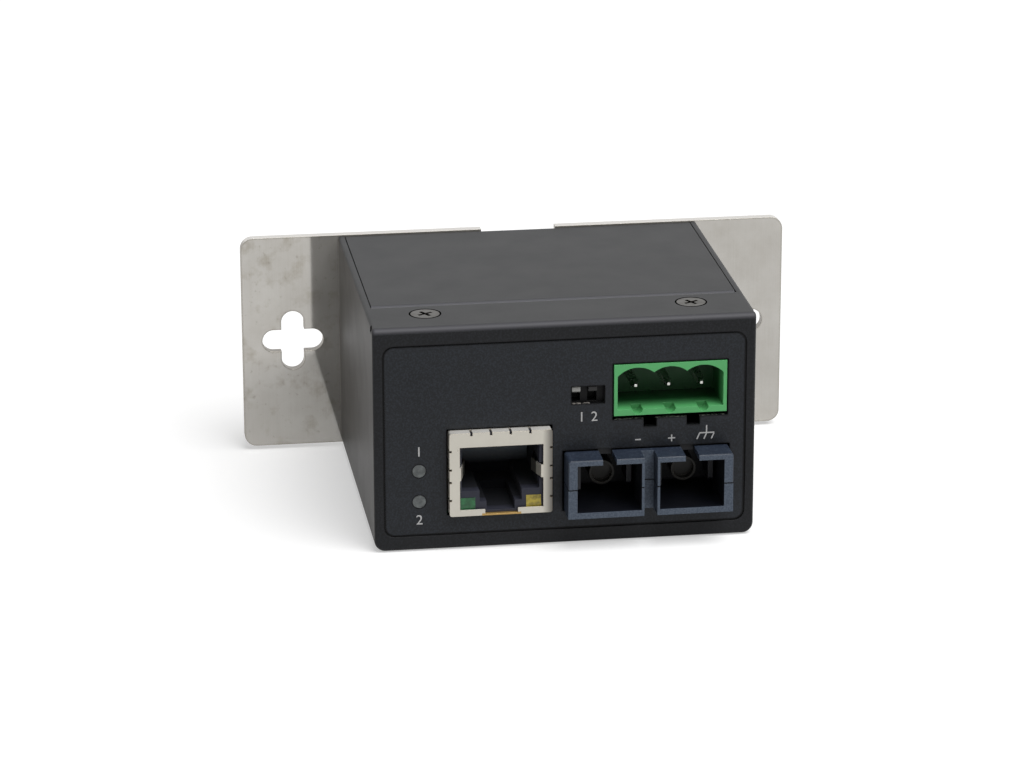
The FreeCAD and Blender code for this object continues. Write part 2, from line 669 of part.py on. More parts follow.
def split_groove():
    """Cutter for the fine groove round the nose where its two halves meet."""
    half, depth = SPLIT_GROOVE[0] / 2, SPLIT_GROOVE[1]
    z0, z1 = OPTIC_SPLIT_Z - half, OPTIC_SPLIT_Z + half
    reach = OPTIC_HALF_W + 1
    ring = box(OPTIC_X - reach, OPTIC_X + reach, -OPTIC_NOSE - 1, PORT_Y1, z0, z1)
    kept_w, gap_w = OPTIC_HALF_W - depth, PORT_GAP_HALF_W + depth
    kept = box(OPTIC_X - kept_w, OPTIC_X + kept_w, depth - OPTIC_NOSE, PORT_Y1, z0, z1)
    gap = box(OPTIC_X - gap_w, OPTIC_X + gap_w, -OPTIC_NOSE - 1, WEB_Y + depth, z0, z1)
    return ring.cut(kept.cut(gap))


def optic_lower_shell():
    """Lower half of the duplex receptacle."""
    shell = optic_block(OPTIC_Z0, OPTIC_SPLIT_Z).cut(split_groove())
    reach = OPTIC_HALF_W + 1
    shell = shell.cut(box(OPTIC_X - reach, OPTIC_X + reach, MAIN_Y0 - 0.1, PORT_Y1 + 1, 0, MAIN_TOP))
    for x in port_centres():
        shell = shell.cut(box(x - PORT_HALF_W, x + PORT_HALF_W, -OPTIC_NOSE - 1, PORT_Y1 + 1,
                              PORT_Z[0], OPTIC_SPLIT_Z + 1))
    return shell


def optic_upper_shell():
    """Upper half of the duplex receptacle, with a key slot over each port."""
    shell = optic_block(OPTIC_SPLIT_Z, OPTIC_Z1)
    shell = rounded(shell, NOSE_CORNER_R, Y_AXIS, lambda p: p.z > OPTIC_Z1 - 0.1 and abs(p.x - OPTIC_X) > 5)
    brow = [edge for edge in edges_along(shell, X_AXIS)
            if edge.CenterOfMass.z > OPTIC_Z1 - 0.1 and edge.CenterOfMass.y < 0.1 - OPTIC_NOSE]
    shell = shell.makeChamfer(NOSE_BEVEL, brow)
    shell = shell.cut(split_groove())
    front = -OPTIC_NOSE - 1
    floor, roof = OPTIC_SPLIT_Z - 1, PORT_Z[1]
    for x, ledge in zip(port_centres(), LEDGES):
        shell = shell.cut(box(x - PORT_HALF_W, x + PORT_HALF_W, front, LEDGE_Y - OPTIC_NOSE, floor, roof))
        shell = shell.cut(box(x - PORT_HALF_W + ledge, x + PORT_HALF_W, front, PORT_Y1 + 1, floor, roof))
        shell = shell.cut(box(x - KEY_W / 2, x + KEY_W / 2, front, KEY_Y1, roof - 1, OPTIC_Z1 + 1))
    return shell


def optic_latch(x, z):
    """Latch of one port: a plate with two sprung arms whose lower front corners are cut away."""
    half_w, half_h, thickness = LATCH_PLATE
    plate = box(x - half_w, x + half_w, PORT_Y1 - thickness, PORT_Y1, z - half_h, z + half_h)
    outer, inner = x + ARM_X[1], x + ARM_X[1] - ARM_T
    outline = [(x + ARM_X[0], ARM_Y[0]), (outer, ARM_Y[0]), (outer, PORT_Y1), (inner, PORT_Y1),
               (inner, ARM_Y[1])]
    arm = prism([V(px, py, z - ARM_H / 2) for px, py in outline], V(0, 0, ARM_H))
    corner = [edge for edge in edges_along(arm, X_AXIS)
              if edge.CenterOfMass.y < ARM_Y[0] + 0.1 and edge.CenterOfMass.z < z]
    arm = arm.makeChamfer(ARM_CHAMFER, corner)
    return union([plate, arm, mirrored(arm, x)])


def optic_middle():
    """Height of the optical axis."""
    return (OPTIC_Z0 + OPTIC_Z1) / 2


def optic_latches():
    """Inner latch of each port."""
    return Part.makeCompound([optic_latch(x, optic_middle()) for x in port_centres()])


def optic_sleeve(x, z):
    """Alignment sleeve of one port, closed behind its mouth."""
    sleeve = rod(x, SLEEVE_Y, z, SLEEVE_R, PORT_Y1 - LATCH_PLATE[2] - SLEEVE_Y, Y_AXIS)
    return sleeve.cut(rod(x, SLEEVE_Y - 1, z, SLEEVE_BORE_R, SLEEVE_FLOOR_Y - SLEEVE_Y + 1, Y_AXIS))


def optic_sleeves():
    """Alignment sleeve in each port."""
    return Part.makeCompound([optic_sleeve(x, optic_middle()) for x in port_centres()])


def optic_body():
    """Closed rear housing of the transceiver."""
    return box(OPTIC_X - OPTIC_HALF_W, OPTIC_X + OPTIC_HALF_W, PORT_Y1, OPTIC_Y1, MAIN_TOP, OPTIC_TOP)


def header_cavity():
    """Cutter for the header's socket: straight floor and sides, a scalloped roof and grooves in the floor."""
    x0, x1 = HEADER_X0 + HEADER_SIDE, HEADER_X1 - HEADER_SIDE
    front = -1
    depth = HEADER_CAVITY_Y1 - front
    hall = box(x0, x1, front, HEADER_CAVITY_Y1, HEADER_FLOOR_Z, POLE_Z)
    edges = [x0, POLE_X[0] + POLE_PITCH / 2, POLE_X[1] + POLE_PITCH / 2, x1]
    cutters = [hall]
    for x, left, right in zip(POLE_X, edges, edges[1:]):
        column = box(left, right, front, HEADER_CAVITY_Y1, POLE_Z - 1, DOME_TOP_Z + 1)
        cutters.append(column.common(rod(x, front, DOME_TOP_Z - DOME_R, DOME_R, depth, Y_AXIS)))
        cutters.append(rod(x, front, HEADER_FLOOR_Z, GROOVE_R, GROOVE_Y1 - front, Y_AXIS))
    return union(cutters)


def header_body():
    """Green three-pole header housing, open to the front."""
    block = box(HEADER_X0, HEADER_X1, 0, HEADER_Y1, POWER_TOP, HEADER_Z1)
    return block.cut(header_cavity()).cut(header_pins())


def lever_places():
    """X of the two switch levers."""
    return (DIP_X - DIP_PITCH / 2, DIP_X + DIP_PITCH / 2)


def dip_body():
    """Case of the setting switch with a slot for each lever."""
    body = box(DIP_X - DIP_HALF_W, DIP_X + DIP_HALF_W, DIP_Y0, DIP_Y1, POWER_TOP, DIP_Z1)
    for x in lever_places():
        half = LEVER_W / 2 + LEVER_GAP
        body = body.cut(box(x - half, x + half, DIP_Y0 - 1, LEVER_Y[1] + LEVER_GAP,
                            LEVER_Z0 - LEVER_TRAVEL - LEVER_GAP, LEVER_Z0 + LEVER_H + LEVER_GAP))
    return body


def dip_lever(x):
    """Sliding lever of the setting switch, with chamfered upper and lower edges on its face."""
    lever = box(x - LEVER_W / 2, x + LEVER_W / 2, *LEVER_Y, LEVER_Z0, LEVER_Z0 + LEVER_H)
    face = [edge for edge in edges_along(lever, X_AXIS) if edge.CenterOfMass.y < LEVER_Y[0] + 0.1]
    return lever.makeChamfer(LEVER_CHAMFER, face)


def light_pipe(z):
    """Clear round rod from the face back to its light source."""
    return rod(LIGHT_X, LIGHT_Y0, z, LIGHT_R, HOLDER_Y[0] - LIGHT_Y0, Y_AXIS)


def status_leds():
    """Two-high block with the light sources, behind the light rods."""
    return box(LIGHT_X - HOLDER_HALF_W, LIGHT_X + HOLDER_HALF_W, *HOLDER_Y, MAIN_TOP, HOLDER_TOP)


def block_on(sizes, base):
    """Block on a board's top, from its outline and height."""
    *outline, height = sizes
    return box(*outline, base, base + height)


def magnetics():
    """Signal transformer module behind the jack."""
    return block_on(MAGNETICS, MAIN_TOP)


def controller_chip():
    """Converter chip with its leads as a thin skirt."""
    x0, x1, y0, y1, height = CHIP
    skirt = (x0 - CHIP_LEADS, x1 + CHIP_LEADS, y0 - CHIP_LEADS, y1 + CHIP_LEADS, CHIP_LEAD_T)
    return union([block_on(CHIP, MAIN_TOP), block_on(skirt, MAIN_TOP)])


def crystal():
    """Flat quartz can."""
    return block_on(CRYSTAL, MAIN_TOP)


def capacitors():
    """Two moulded tantalum capacitors on the upper board."""
    block = block_on(CAPACITOR, POWER_TOP)
    return Part.makeCompound([block.translated(V(0, y, 0)) for y in CAPACITOR_Y])


def inductor():
    """Shielded power inductor on the upper board."""
    block = block_on(INDUCTOR, POWER_TOP)
    return block.makeChamfer(INDUCTOR_CHAMFER, edges_along(block, Z_AXIS))


def regulator():
    """Voltage regulator on the upper board."""
    return union([block_on(REGULATOR, POWER_TOP), block_on(REGULATOR_TAB, POWER_TOP)])


def case_nodes():
    """Case, film, bracket and their fasteners."""
    return {
        "front_shell": front_shell(),
        "rear_cover": rear_cover(),
        "face_overlay": face_overlay(),
        "mounting_bracket": mounting_bracket(),
        "cover_screws": cover_screws(),
        "cover_nuts": cover_nuts(),
        "bracket_screws": bracket_screws(),
        "bracket_nuts": bracket_nuts(),
    }


def board_nodes():
    """Boards, posts and the parts on the boards."""
    return {
        "main_board": main_board(),
        "power_board": power_board(),
        "board_standoffs": board_standoffs(),
        "board_spacers": board_spacers(),
        "board_screws": board_screws(),
        "link_header": link_header(),
        "link_pins": link_pins(),
        "magnetics": magnetics(),
        "controller_chip": controller_chip(),
        "crystal": crystal(),
        "capacitors": capacitors(),
        "inductor": inductor(),
        "regulator": regulator(),
    }


def connector_nodes():
    """Network jack, optical transceiver and power header."""
    return {
        "jack_shield": jack_shield(),
        "jack_housing": jack_housing(),
        "jack_contacts": jack_contacts(),
        "jack_pins": jack_pins(),
        "jack_light_green": jack_light(-1),
        "jack_light_yellow": jack_light(1),
        "optic_lower_shell": optic_lower_shell(),
        "optic_upper_shell": optic_upper_shell(),
        "optic_latches": optic_latches(),
        "optic_sleeves": optic_sleeves(),
        "optic_body": optic_body(),
        "optic_pins": optic_pins(),
        "header_body": header_body(),
        "header_pins": header_pins(),
    }


def control_nodes():
    """Setting switch and status lights."""
    first, second = lever_places()
    upper, lower = LIGHT_Z
    return {
        "dip_body": dip_body(),
        "dip_lever_1": dip_lever(first),
        "dip_lever_2": dip_lever(second),
        "dip_pins": dip_pins(),
        "light_pipe_upper": light_pipe(upper),
        "light_pipe_lower": light_pipe(lower),
        "status_leds": status_leds(),
    }


def save(nodes):
    """Write each node as a STEP file, with the origin at the centre of the footprint."""
    depth_middle = (CASE_D + BRACKET_T - OPTIC_NOSE) / 2
    shift = V(-BRACKET_SHIFT, -depth_middle, 0)
    os.makedirs("parts", exist_ok=True)
    for name, shape in nodes.items():
        shape.translated(shift).exportStep(os.path.join("parts", name + ".step"))


save(case_nodes() | board_nodes() | connector_nodes() | control_nodes())
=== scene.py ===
"""Looks of the fibre media converter: materials, printed marks, light and camera.

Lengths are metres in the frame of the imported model, and small ones are written as millimetres
times MM. Places on the object are given in face millimetres: x from the middle of the case,
y back from its front plane and z up from its bottom.
"""

import math

import bmesh
import bpy
from mathutils import Matrix, Vector

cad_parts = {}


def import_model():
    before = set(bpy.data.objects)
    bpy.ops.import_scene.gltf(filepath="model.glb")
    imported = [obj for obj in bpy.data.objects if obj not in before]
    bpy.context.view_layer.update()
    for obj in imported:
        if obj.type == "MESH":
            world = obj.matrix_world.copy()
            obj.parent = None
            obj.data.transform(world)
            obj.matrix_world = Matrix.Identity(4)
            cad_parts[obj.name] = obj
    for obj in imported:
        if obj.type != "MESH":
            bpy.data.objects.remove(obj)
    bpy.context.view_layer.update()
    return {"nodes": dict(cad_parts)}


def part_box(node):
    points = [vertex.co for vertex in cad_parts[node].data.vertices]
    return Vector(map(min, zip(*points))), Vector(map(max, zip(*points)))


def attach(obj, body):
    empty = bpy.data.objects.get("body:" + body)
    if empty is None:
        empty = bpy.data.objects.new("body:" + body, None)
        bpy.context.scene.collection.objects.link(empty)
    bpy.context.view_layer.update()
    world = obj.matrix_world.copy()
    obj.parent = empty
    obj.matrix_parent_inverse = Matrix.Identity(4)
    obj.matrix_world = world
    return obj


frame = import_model()

MM = 0.001
ROOT = "converter"
FACE_ORIGIN = {"X": 0.7, "Y": -23.65, "Z": 0.0}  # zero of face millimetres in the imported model

# --- camera ---------------------------------------------------------------------------------
CAMERA_AZIMUTH = 0.1411      # radians to the left of straight ahead
CAMERA_ELEVATION = 0.3222    # radians above the horizon
CAMERA_ROLL = -0.002
CAMERA_DISTANCE = 0.6109
CAMERA_TARGET = Vector((-0.00747, -0.02365, 0.02599))
CAMERA_LENS = 142.4          # millimetres, like the sensor's width
CAMERA_SENSOR = 36
CAMERA_CLIP = (0.01, 20)

# --- light ----------------------------------------------------------------------------------
WORLD_LIGHT = 0.2
WORLD_SHOWN = 1.0
KEY_FROM = Vector((0.3, -0.42, 0.86))
KEY_STRENGTH = 2.9
KEY_SPREAD = math.radians(50)
FLOOR_SHADE = 0.65
FLOOR_LIFT = 0.45
FLOOR_HALF = 3.0
FLOOR_DROP = 0.0002

# --- printed marks on the film: places in face millimetres ----------------------------------
INK_LIFT = 0.004 * MM
DIGIT_SIZE = 2.2 * MM
DIGIT_SPACE = 1.4
STROKE_W = 0.2 * MM
DIGITS = (
    ("mark_light_1", "1", -22.4, 15.75),
    ("mark_light_2", "2", -22.4, 4.8),
    ("mark_switch", "1 2", 3.48, 20.1),
)
MINUS = (((-0.45, 0), (0.45, 0)),)
PLUS = (((-0.55, 0), (0.55, 0)), ((0, -0.55), (0, -0.1)), ((0, 0.1), (0, 0.55)))
EARTH = (((0, 1.2), (0, 0.1)), ((-1.1, 0), (1.2, 0)), ((-1.1, -0.1), (-1.5, -1.0)),
         ((0, -0.1), (-0.4, -1.0)), ((1.15, -0.1), (0.75, -1.0)))
SIGNS = (
    ("mark_minus", MINUS, 11.2, 16.1),
    ("mark_plus", PLUS, 16.4, 16.1),
    ("mark_earth", EARTH, 21.8, 16.7),
)

# --- painted shadow in the gaps round the screws in the top: places in face millimetres -----
GAPS = (("screw_gap_shadow_left", -20.45, 7.0), ("screw_gap_shadow_right", 20.45, 7.0))
GAP_INNER = 2.22 * MM
GAP_OUTER = 2.48 * MM
GAP_LIFT = 0.008 * MM
GAP_DEPTH = 0.03 * MM
GAP_STEPS = 72

# --- places of material changes and of painted light and shade, mostly as two corners in face millimetres ---
LIT_CUT_EDGE_BOXES = (               # painted highlights on the lower cut edges of the switch window and of the header's opening
    ((1.1, 0.1, 21.9), (3.8, 0.95, 22.35)),
    ((7.6, 0.1, 19.2), (24.6, 0.95, 19.55)),
)
# the left rear edge of the side carries a painted highlight
REAR_EDGE = ((-29.4, 49.3, 1.5), (-29.2, 50.3, 36.0))
# the pocket round the film is painted shadow black
FILM_POCKET = ((-27.9, 0.05, 2.2), (27.9, 0.9, 32.8))
# the joggle line carries a painted highlight
JOGGLE = ((-28.2, 10.75, 35.0), (28.2, 11.95, 36.0))
JACK_MOUTH = ((-16.4, 0.4, 6.6), (-3.55, 17.0, 16.72))
COPPER_EDGE = ((-13.0, -1.6, 5.4), (-7.0, 1.0, 6.0))
# slits in the can, darkened as painted shade
NICKS = tuple(((x, -1.7, z - 0.17), (x + 0.45, 0.3, z + 0.17))
              for x in (-18.05, -2.6) for z in (8.25, 11.15, 13.15, 16.1))
# band of the can darkened as painted shade
SHADED_BAND_X = (-3.7, -2.4)
PORT_SHADE_BOXES = (               # painted shade in two ports, the body behind the face and the groove between the halves
    ((1.15, -4.2, 6.2), (11.15, 9.1, 13.87)),
    ((13.85, -4.2, 6.2), (23.85, 9.1, 13.87)),
    ((-1.0, 0.0, 4.0), (26.0, 36.0, 16.0)),
    ((-1.0, -4.6, 9.86), (26.0, 0.0, 10.06)),
)
LATCH_FRONT = ((0.0, 1.9, 6.0), (25.0, 2.3, 14.0))
HEADER_DEPTH_Y = (0.8, 4.6)  # depths over which painted shade darkens the plastic
# depths where painted shade sets in inside the jack, and the place of painted light on its back
# wall
JACK_DEPTH_Y = (0.3, 1.2)
JACK_BACK_Y = (11.5, 12.3)
JACK_WALL_LIGHT_Z = (9.2, 12.8)
BRACKET_STAINS_X = (50, -45)
BRACKET_CREST_Z = (34.0, 35.0)

# --- colours --------------------------------------------------------------------------------
SHADOW_BLACK = (0.001, 0.001, 0.0012)

COAT_MOTTLE = ((0.0055, 0.006, 0.007), (0.008, 0.0085, 0.0095))
COAT_GRAIN = (0.014, 0.015, 0.018)
# painted light: lighter tops, a painted reflection of the bracket on the sides, and painted
# highlights on the left rear edge, the joggle, the front bends and two cut edges
COAT_TOP_LIGHT = (0.019, 0.0195, 0.021)
COAT_SIDE_REFLECTION = (0.021, 0.0185, 0.016)
COAT_REAR_EDGE_HIGHLIGHT = (0.07, 0.062, 0.054)
COAT_JOGGLE_HIGHLIGHT = (0.105, 0.11, 0.122)
COAT_BEND_HIGHLIGHT = (0.078, 0.077, 0.086)
LIT_CUT_EDGE_COLOR = (0.30, 0.28, 0.26)

FILM_MOTTLE = ((0.0075, 0.0085, 0.0105), (0.011, 0.0125, 0.015))
FILM_GRAIN = (0.019, 0.0225, 0.029)

STAINLESS_CLOUD = ((0.435, 0.415, 0.38), (0.53, 0.515, 0.485))
STAINLESS_PATCH = (0.39, 0.375, 0.345)
STAINLESS_STAIN = (0.27, 0.24, 0.185)
STAINLESS_SPECK = (0.22, 0.20, 0.165)
STAINLESS_BRUSHED = (0.54, 0.525, 0.50)
# painted shade on the bracket's rims
STAINLESS_RIM_SHADE = (0.22, 0.195, 0.155)
STAINLESS_SHEARED = (0.30, 0.28, 0.25)
# painted highlight on the bracket's upper edge
STAINLESS_CREST_HIGHLIGHT = (0.66, 0.64, 0.61)

TIN_CLOUD = ((0.50, 0.475, 0.415), (0.585, 0.56, 0.495))
# painted shade on the can's right band, in its mouth and its nicks, and a painted highlight on its
# top
TIN_BAND_SHADE = (0.14, 0.13, 0.115)
TIN_TOP_HIGHLIGHT = (0.95, 0.93, 0.88)
TIN_MOUTH_SHADE = (0.05, 0.05, 0.047)
TIN_NICK_SHADE = (0.03, 0.027, 0.022)
TIN_CUT = (0.22, 0.165, 0.10)
COPPER = (0.42, 0.265, 0.085)

JACK_FRONT = ((0.024, 0.025, 0.036), (0.034, 0.036, 0.050))
# painted shade inside the jack and painted light on its back wall
JACK_INSIDE_SHADE = (0.011, 0.012, 0.0155)
JACK_WALL_LIGHT = (0.42, 0.48, 0.56)

SLATE = (0.022, 0.031, 0.052)
# painted highlight on the edges; speckles that are painted light where the surface faces forward;
# painted shade in the ports
SLATE_EDGE_HIGHLIGHT = (0.10, 0.128, 0.165)
SLATE_SPECKLE_AND_FRONT_LIGHT = (0.085, 0.107, 0.142)
SLATE_ROOM_SHADE = (0.004, 0.0045, 0.007)
LATCH = (0.006, 0.0065, 0.009)
LATCH_LIT = (0.013, 0.014, 0.018)
SLEEVE = (0.008, 0.007, 0.005)
# painted highlight on the sleeves' edges
SLEEVE_EDGE_HIGHLIGHT = (0.07, 0.058, 0.04)
HEADER_GREEN = (0.108, 0.44, 0.155)
# painted highlight on the header's edges and painted shade deep inside it
HEADER_EDGE_HIGHLIGHT = (0.14, 0.52, 0.20)
HEADER_DEPTH_SHADE = (0.009, 0.062, 0.016)

BOARD_FIELDS = ((0.004, 0.035, 0.014), (0.003, 0.028, 0.011))
BOARD_TRACK = (0.006, 0.05, 0.02)
INK_SHADES = ((0.38, 0.38, 0.38), (0.52, 0.52, 0.52))
# painted shadow in the gaps round the screws
GAP_SHADOW_TONES = ((0.001, 0.001, 0.001), (0.005, 0.005, 0.0045))

# --- shared settings of the node materials --------------------------------------------------
IOR = 1.5
BEVEL_SAMPLES = 6
NOISE_RANGE = (0.3, 0.7)     # where nearly all values of a noise lie
EDGE_DOTS = (0.75, 0.98)     # cosine of the bevel at a full edge, and where it is flat again
MIX_COLORS = (6, 7)          # places of the colour sockets of a mix node
MIX_RESULT = 2
PLATED_CLOUD_SHADE = 0.86
BOARD_TRACK_SCALE = 400
LIGHT_SHADES = (0.6, 1.3)    # darkest and lightest share of a light guide's colour
LIGHT_SCATTER = 0.4
LIGHT_SCATTER_RADIUS = 0.4 * MM


# --- node helpers ---------------------------------------------------------------------------
def shade(color, factor):
    """Colour with each channel multiplied by a factor."""
    return tuple(channel * factor for channel in color)


class Mat:
    """Small builder for a node material with one Principled shader.

    The colour and roughness given at the start show where no node is connected to them.
    """

    def __init__(self, name, color, roughness, metallic=0.0, specular=0.5):
        self.mat = bpy.data.materials.new(name)
        self.mat.use_nodes = True
        self.tree = self.mat.node_tree
        self.bsdf = self.tree.nodes["Principled BSDF"]
        self.bsdf.inputs["Base Color"].default_value = (*color, 1)
        self.bsdf.inputs["Roughness"].default_value = roughness
        self.bsdf.inputs["Metallic"].default_value = metallic
        self.bsdf.inputs["IOR"].default_value = IOR
        self.bsdf.inputs["Specular IOR Level"].default_value = specular
        coords = self.add("ShaderNodeTexCoord")
        self.coords = coords.outputs["Object"]
        self.normal = coords.outputs["Normal"]

    def add(self, kind, inputs=None, **settings):
        """New node with the values of its inputs and its settings."""
        node = self.tree.nodes.new(kind)
        for key, value in settings.items():
            setattr(node, key, value)
        for key, value in (inputs or {}).items():
            node.inputs[key].default_value = value
        return node

    def link(self, source, target):
        """Connects an output to an input."""
        self.tree.links.new(source, target)

    def component(self, vector, axis):
        """X, Y or Z value of a vector."""
        node = self.add("ShaderNodeSeparateXYZ")
        self.link(vector, node.inputs[0])
        return node.outputs[axis]

    def scaled(self, scale):
        """Object coordinates stretched by a vector."""
        node = self.add("ShaderNodeMapping", {"Scale": scale})
        self.link(self.coords, node.inputs["Vector"])
        return node.outputs["Vector"]

    def noise(self, size, detail=3.0, roughness=0.55, stretch=(1, 1, 1)):
        """Noise value 0..1 with a feature size in metres."""
        node = self.add("ShaderNodeTexNoise",
                        {"Scale": 1.0, "Detail": detail, "Roughness": roughness})
        self.link(self.scaled(tuple(axis / size for axis in stretch)), node.inputs["Vector"])
        return node.outputs["Fac"]

    def ramp(self, value, low, high, out_low, out_high):
        """Value mapped from one range to another, clamped."""
        node = self.add("ShaderNodeMapRange",
                        {"From Min": low, "From Max": high, "To Min": out_low, "To Max": out_high})
        self.link(value, node.inputs["Value"])
        return node.outputs["Result"]

    def spread(self, noise, out_low, out_high):
        """Noise value spread over a range."""
        return self.ramp(noise, *NOISE_RANGE, out_low, out_high)

    def flecks(self, size, low, high, share, detail=2, roughness=0.55):
        """0 to a share where a noise rises from one value to another."""
        return self.ramp(self.noise(size, detail, roughness), low, high, 0, share)

    def mix(self, factor, color_a, color_b):
        """Two colours (tuples or sockets) mixed by a value."""
        node = self.add("ShaderNodeMix", data_type="RGBA")
        self.link(factor, node.inputs["Factor"])
        for place, color in zip(MIX_COLORS, (color_a, color_b)):
            if isinstance(color, tuple):
                node.inputs[place].default_value = (*color, 1)
            else:
                self.link(color, node.inputs[place])
        return node.outputs[MIX_RESULT]

    def layers(self, color, *layers):
        """Colour with others laid over it in turn, given as pairs of mask and colour."""
        for mask, layer in layers:
            color = self.mix(mask, color, layer)
        return color

    def calc(self, operation, *values):
        """Result of a math node on sockets and numbers."""
        node = self.add("ShaderNodeMath", operation=operation)
        for socket, value in zip(node.inputs, values):
            if isinstance(value, (int, float)):
                socket.default_value = value
            else:
                self.link(value, socket)
        return node.outputs[0]

    def product(self, first, second):
        """One value times another: both masks, or a mask at part strength."""
        return self.calc("MULTIPLY", first, second)

    def larger(self, first, second):
        """The larger of two values."""
        return self.calc("MAXIMUM", first, second)

    def inside(self, box):
        """1 inside a box given as two corners in face millimetres, 0 outside."""
        result = None
        for axis, low, high in zip("XYZ", *box):
            middle = ((low + high) / 2 + FACE_ORIGIN[axis]) * MM
            offset = self.calc("SUBTRACT", self.component(self.coords, axis), middle)
            near = self.calc("LESS_THAN", self.calc("ABSOLUTE", offset), (high - low) / 2 * MM)
            result = near if result is None else self.product(result, near)
        return result

    def along(self, axis, low, high):
        """0 to 1 between two face millimetres along one axis."""
        start, end = ((value + FACE_ORIGIN[axis]) * MM for value in (low, high))
        return self.ramp(self.component(self.coords, axis), start, end, 0, 1)

    def facing(self, axis, low, high):
        """0 to 1 as the surface turns towards a direction along one object axis."""
        return self.ramp(self.component(self.normal, axis), low, high, 0, 1)

    def bends(self):
        """1 on bends halfway between the front and the top, 0 on the flats."""
        return self.product(self.facing("Y", 0, -1), self.product(self.facing("Z", 0, 1), 2.0))

    def rounded(self, radius):
        """Normal with sharp edges rounded by a radius."""
        node = self.add("ShaderNodeBevel", {"Radius": radius}, samples=BEVEL_SAMPLES)
        return node.outputs["Normal"]

    def edges(self, radius):
        """1 within a radius of a sharp edge, 0 on the flats."""
        dot = self.add("ShaderNodeVectorMath", operation="DOT_PRODUCT")
        self.link(self.rounded(radius), dot.inputs[0])
        self.link(self.add("ShaderNodeNewGeometry").outputs["Normal"], dot.inputs[1])
        return self.ramp(dot.outputs["Value"], *EDGE_DOTS, 1, 0)

    def color(self, socket):
        """Sets the shader's colour."""
        self.link(socket, self.bsdf.inputs["Base Color"])

    def rough(self, socket):
        """Sets the shader's roughness."""
        self.link(socket, self.bsdf.inputs["Roughness"])

    def bump(self, height, distance, strength, soften=None):
        """Bump from a height value; soften rounds sharp edges by that radius."""
        node = self.add("ShaderNodeBump", {"Strength": strength, "Distance": distance})
        self.link(height, node.inputs["Height"])
        if soften:
            self.link(self.rounded(soften), node.inputs["Normal"])
        self.link(node.outputs["Normal"], self.bsdf.inputs["Normal"])


# --- materials ------------------------------------------------------------------------------
def powder_coat():
    """Black powder coat with a fine grain; painted light on its tops, a painted reflection on its
    sides, painted highlights on the bends, the joggle, the left rear edge and, ragged, the lower
    cut edges of two punched openings; painted shadow black in the pocket behind the film."""
    m = Mat("black_powder_coat", (0.012, 0.012, 0.013), 0.45, specular=0.19)
    mottle = m.noise(7 * MM, 3)
    grain = m.flecks(0.3 * MM, 0.44, 0.64, 0.8)
    side_reflection = m.larger(m.facing("X", -0.8, -0.95), m.facing("X", 0.8, 0.95))
    cut_edge_flecks = m.flecks(0.35 * MM, 0.46, 0.56, 1, detail=3)
    m.color(m.layers(
        m.mix(mottle, *COAT_MOTTLE),
        (grain, COAT_GRAIN),
        (m.facing("Z", 0.8, 0.95), COAT_TOP_LIGHT),
        (m.product(side_reflection, 0.8), COAT_SIDE_REFLECTION),
        (m.inside(REAR_EDGE), COAT_REAR_EDGE_HIGHLIGHT),
        (m.product(m.inside(JOGGLE), 0.8), COAT_JOGGLE_HIGHLIGHT),
        (m.product(m.bends(), 0.9), COAT_BEND_HIGHLIGHT),
        (m.inside(FILM_POCKET), SHADOW_BLACK),
        *((m.product(m.inside(box), cut_edge_flecks), LIT_CUT_EDGE_COLOR) for box in LIT_CUT_EDGE_BOXES),
    ))
    m.rough(m.spread(mottle, 0.43, 0.47))
    m.bump(m.noise(0.2 * MM, 2), 0.012 * MM, 0.4, soften=0.15 * MM)
    return m.mat


def overlay_film():
    """Matt black printed film with a fine bluish grain, and painted shadow black along its edge."""
    m = Mat("overlay_film", (0.012, 0.012, 0.014), 0.4, specular=0.22)
    edge_shadow = m.edges(0.45 * MM)
    m.color(m.layers(
        m.mix(m.noise(6 * MM), *FILM_MOTTLE),
        (m.flecks(0.26 * MM, 0.42, 0.66, 0.8), FILM_GRAIN),
        (edge_shadow, SHADOW_BLACK),
    ))
    m.rough(m.larger(edge_shadow, m.spread(m.noise(9 * MM, 3), 0.36, 0.44)))
    m.bump(m.noise(0.16 * MM, 2), 0.012 * MM, 0.7)
    return m.mat


def stainless():
    """Mill-finish stainless: smooth, with cloudy patches, faint upright brushing, stains that fade
    to the right, painted shade on the rims, duller sheared edges, and a painted highlight on the
    upper edge."""
    m = Mat("stainless_bracket", (0.45, 0.43, 0.40), 0.05, metallic=0.72)
    lines = m.noise(0.22 * MM, 4, 0.7, stretch=(1, 1, 0.02))
    cloud = m.noise(7 * MM, 5, 0.6)
    left = m.along("X", *BRACKET_STAINS_X)
    stains = m.flecks(3.2 * MM, 0.52, 0.70, 0.6, detail=4, roughness=0.6)
    specks = m.flecks(0.8 * MM, 0.66, 0.74, 0.35)
    faces = m.layers(
        m.mix(m.spread(cloud, 0, 1), *STAINLESS_CLOUD),
        (m.flecks(22 * MM, 0.4, 0.65, 0.5), STAINLESS_PATCH),
        (m.product(stains, left), STAINLESS_STAIN),
        (m.product(specks, left), STAINLESS_SPECK),
        (m.ramp(lines, 0.35, 0.7, 0, 0.25), STAINLESS_BRUSHED),
        (m.product(m.edges(0.6 * MM), 0.7), STAINLESS_RIM_SHADE),
    )
    lit_crest = m.product(m.facing("Z", 0.5, 0.8), m.along("Z", *BRACKET_CREST_Z))
    sheared = m.mix(lit_crest, STAINLESS_SHEARED, STAINLESS_CREST_HIGHLIGHT)
    sides = m.product(m.facing("Y", -0.7, -0.5), m.facing("Y", 0.7, 0.5))
    m.color(m.mix(sides, faces, sheared))
    m.rough(m.larger(m.product(sides, 0.4), m.spread(cloud, 0.03, 0.06)))
    m.bump(lines, 0.0003 * MM, 0.25, soften=0.1 * MM)
    return m.mat


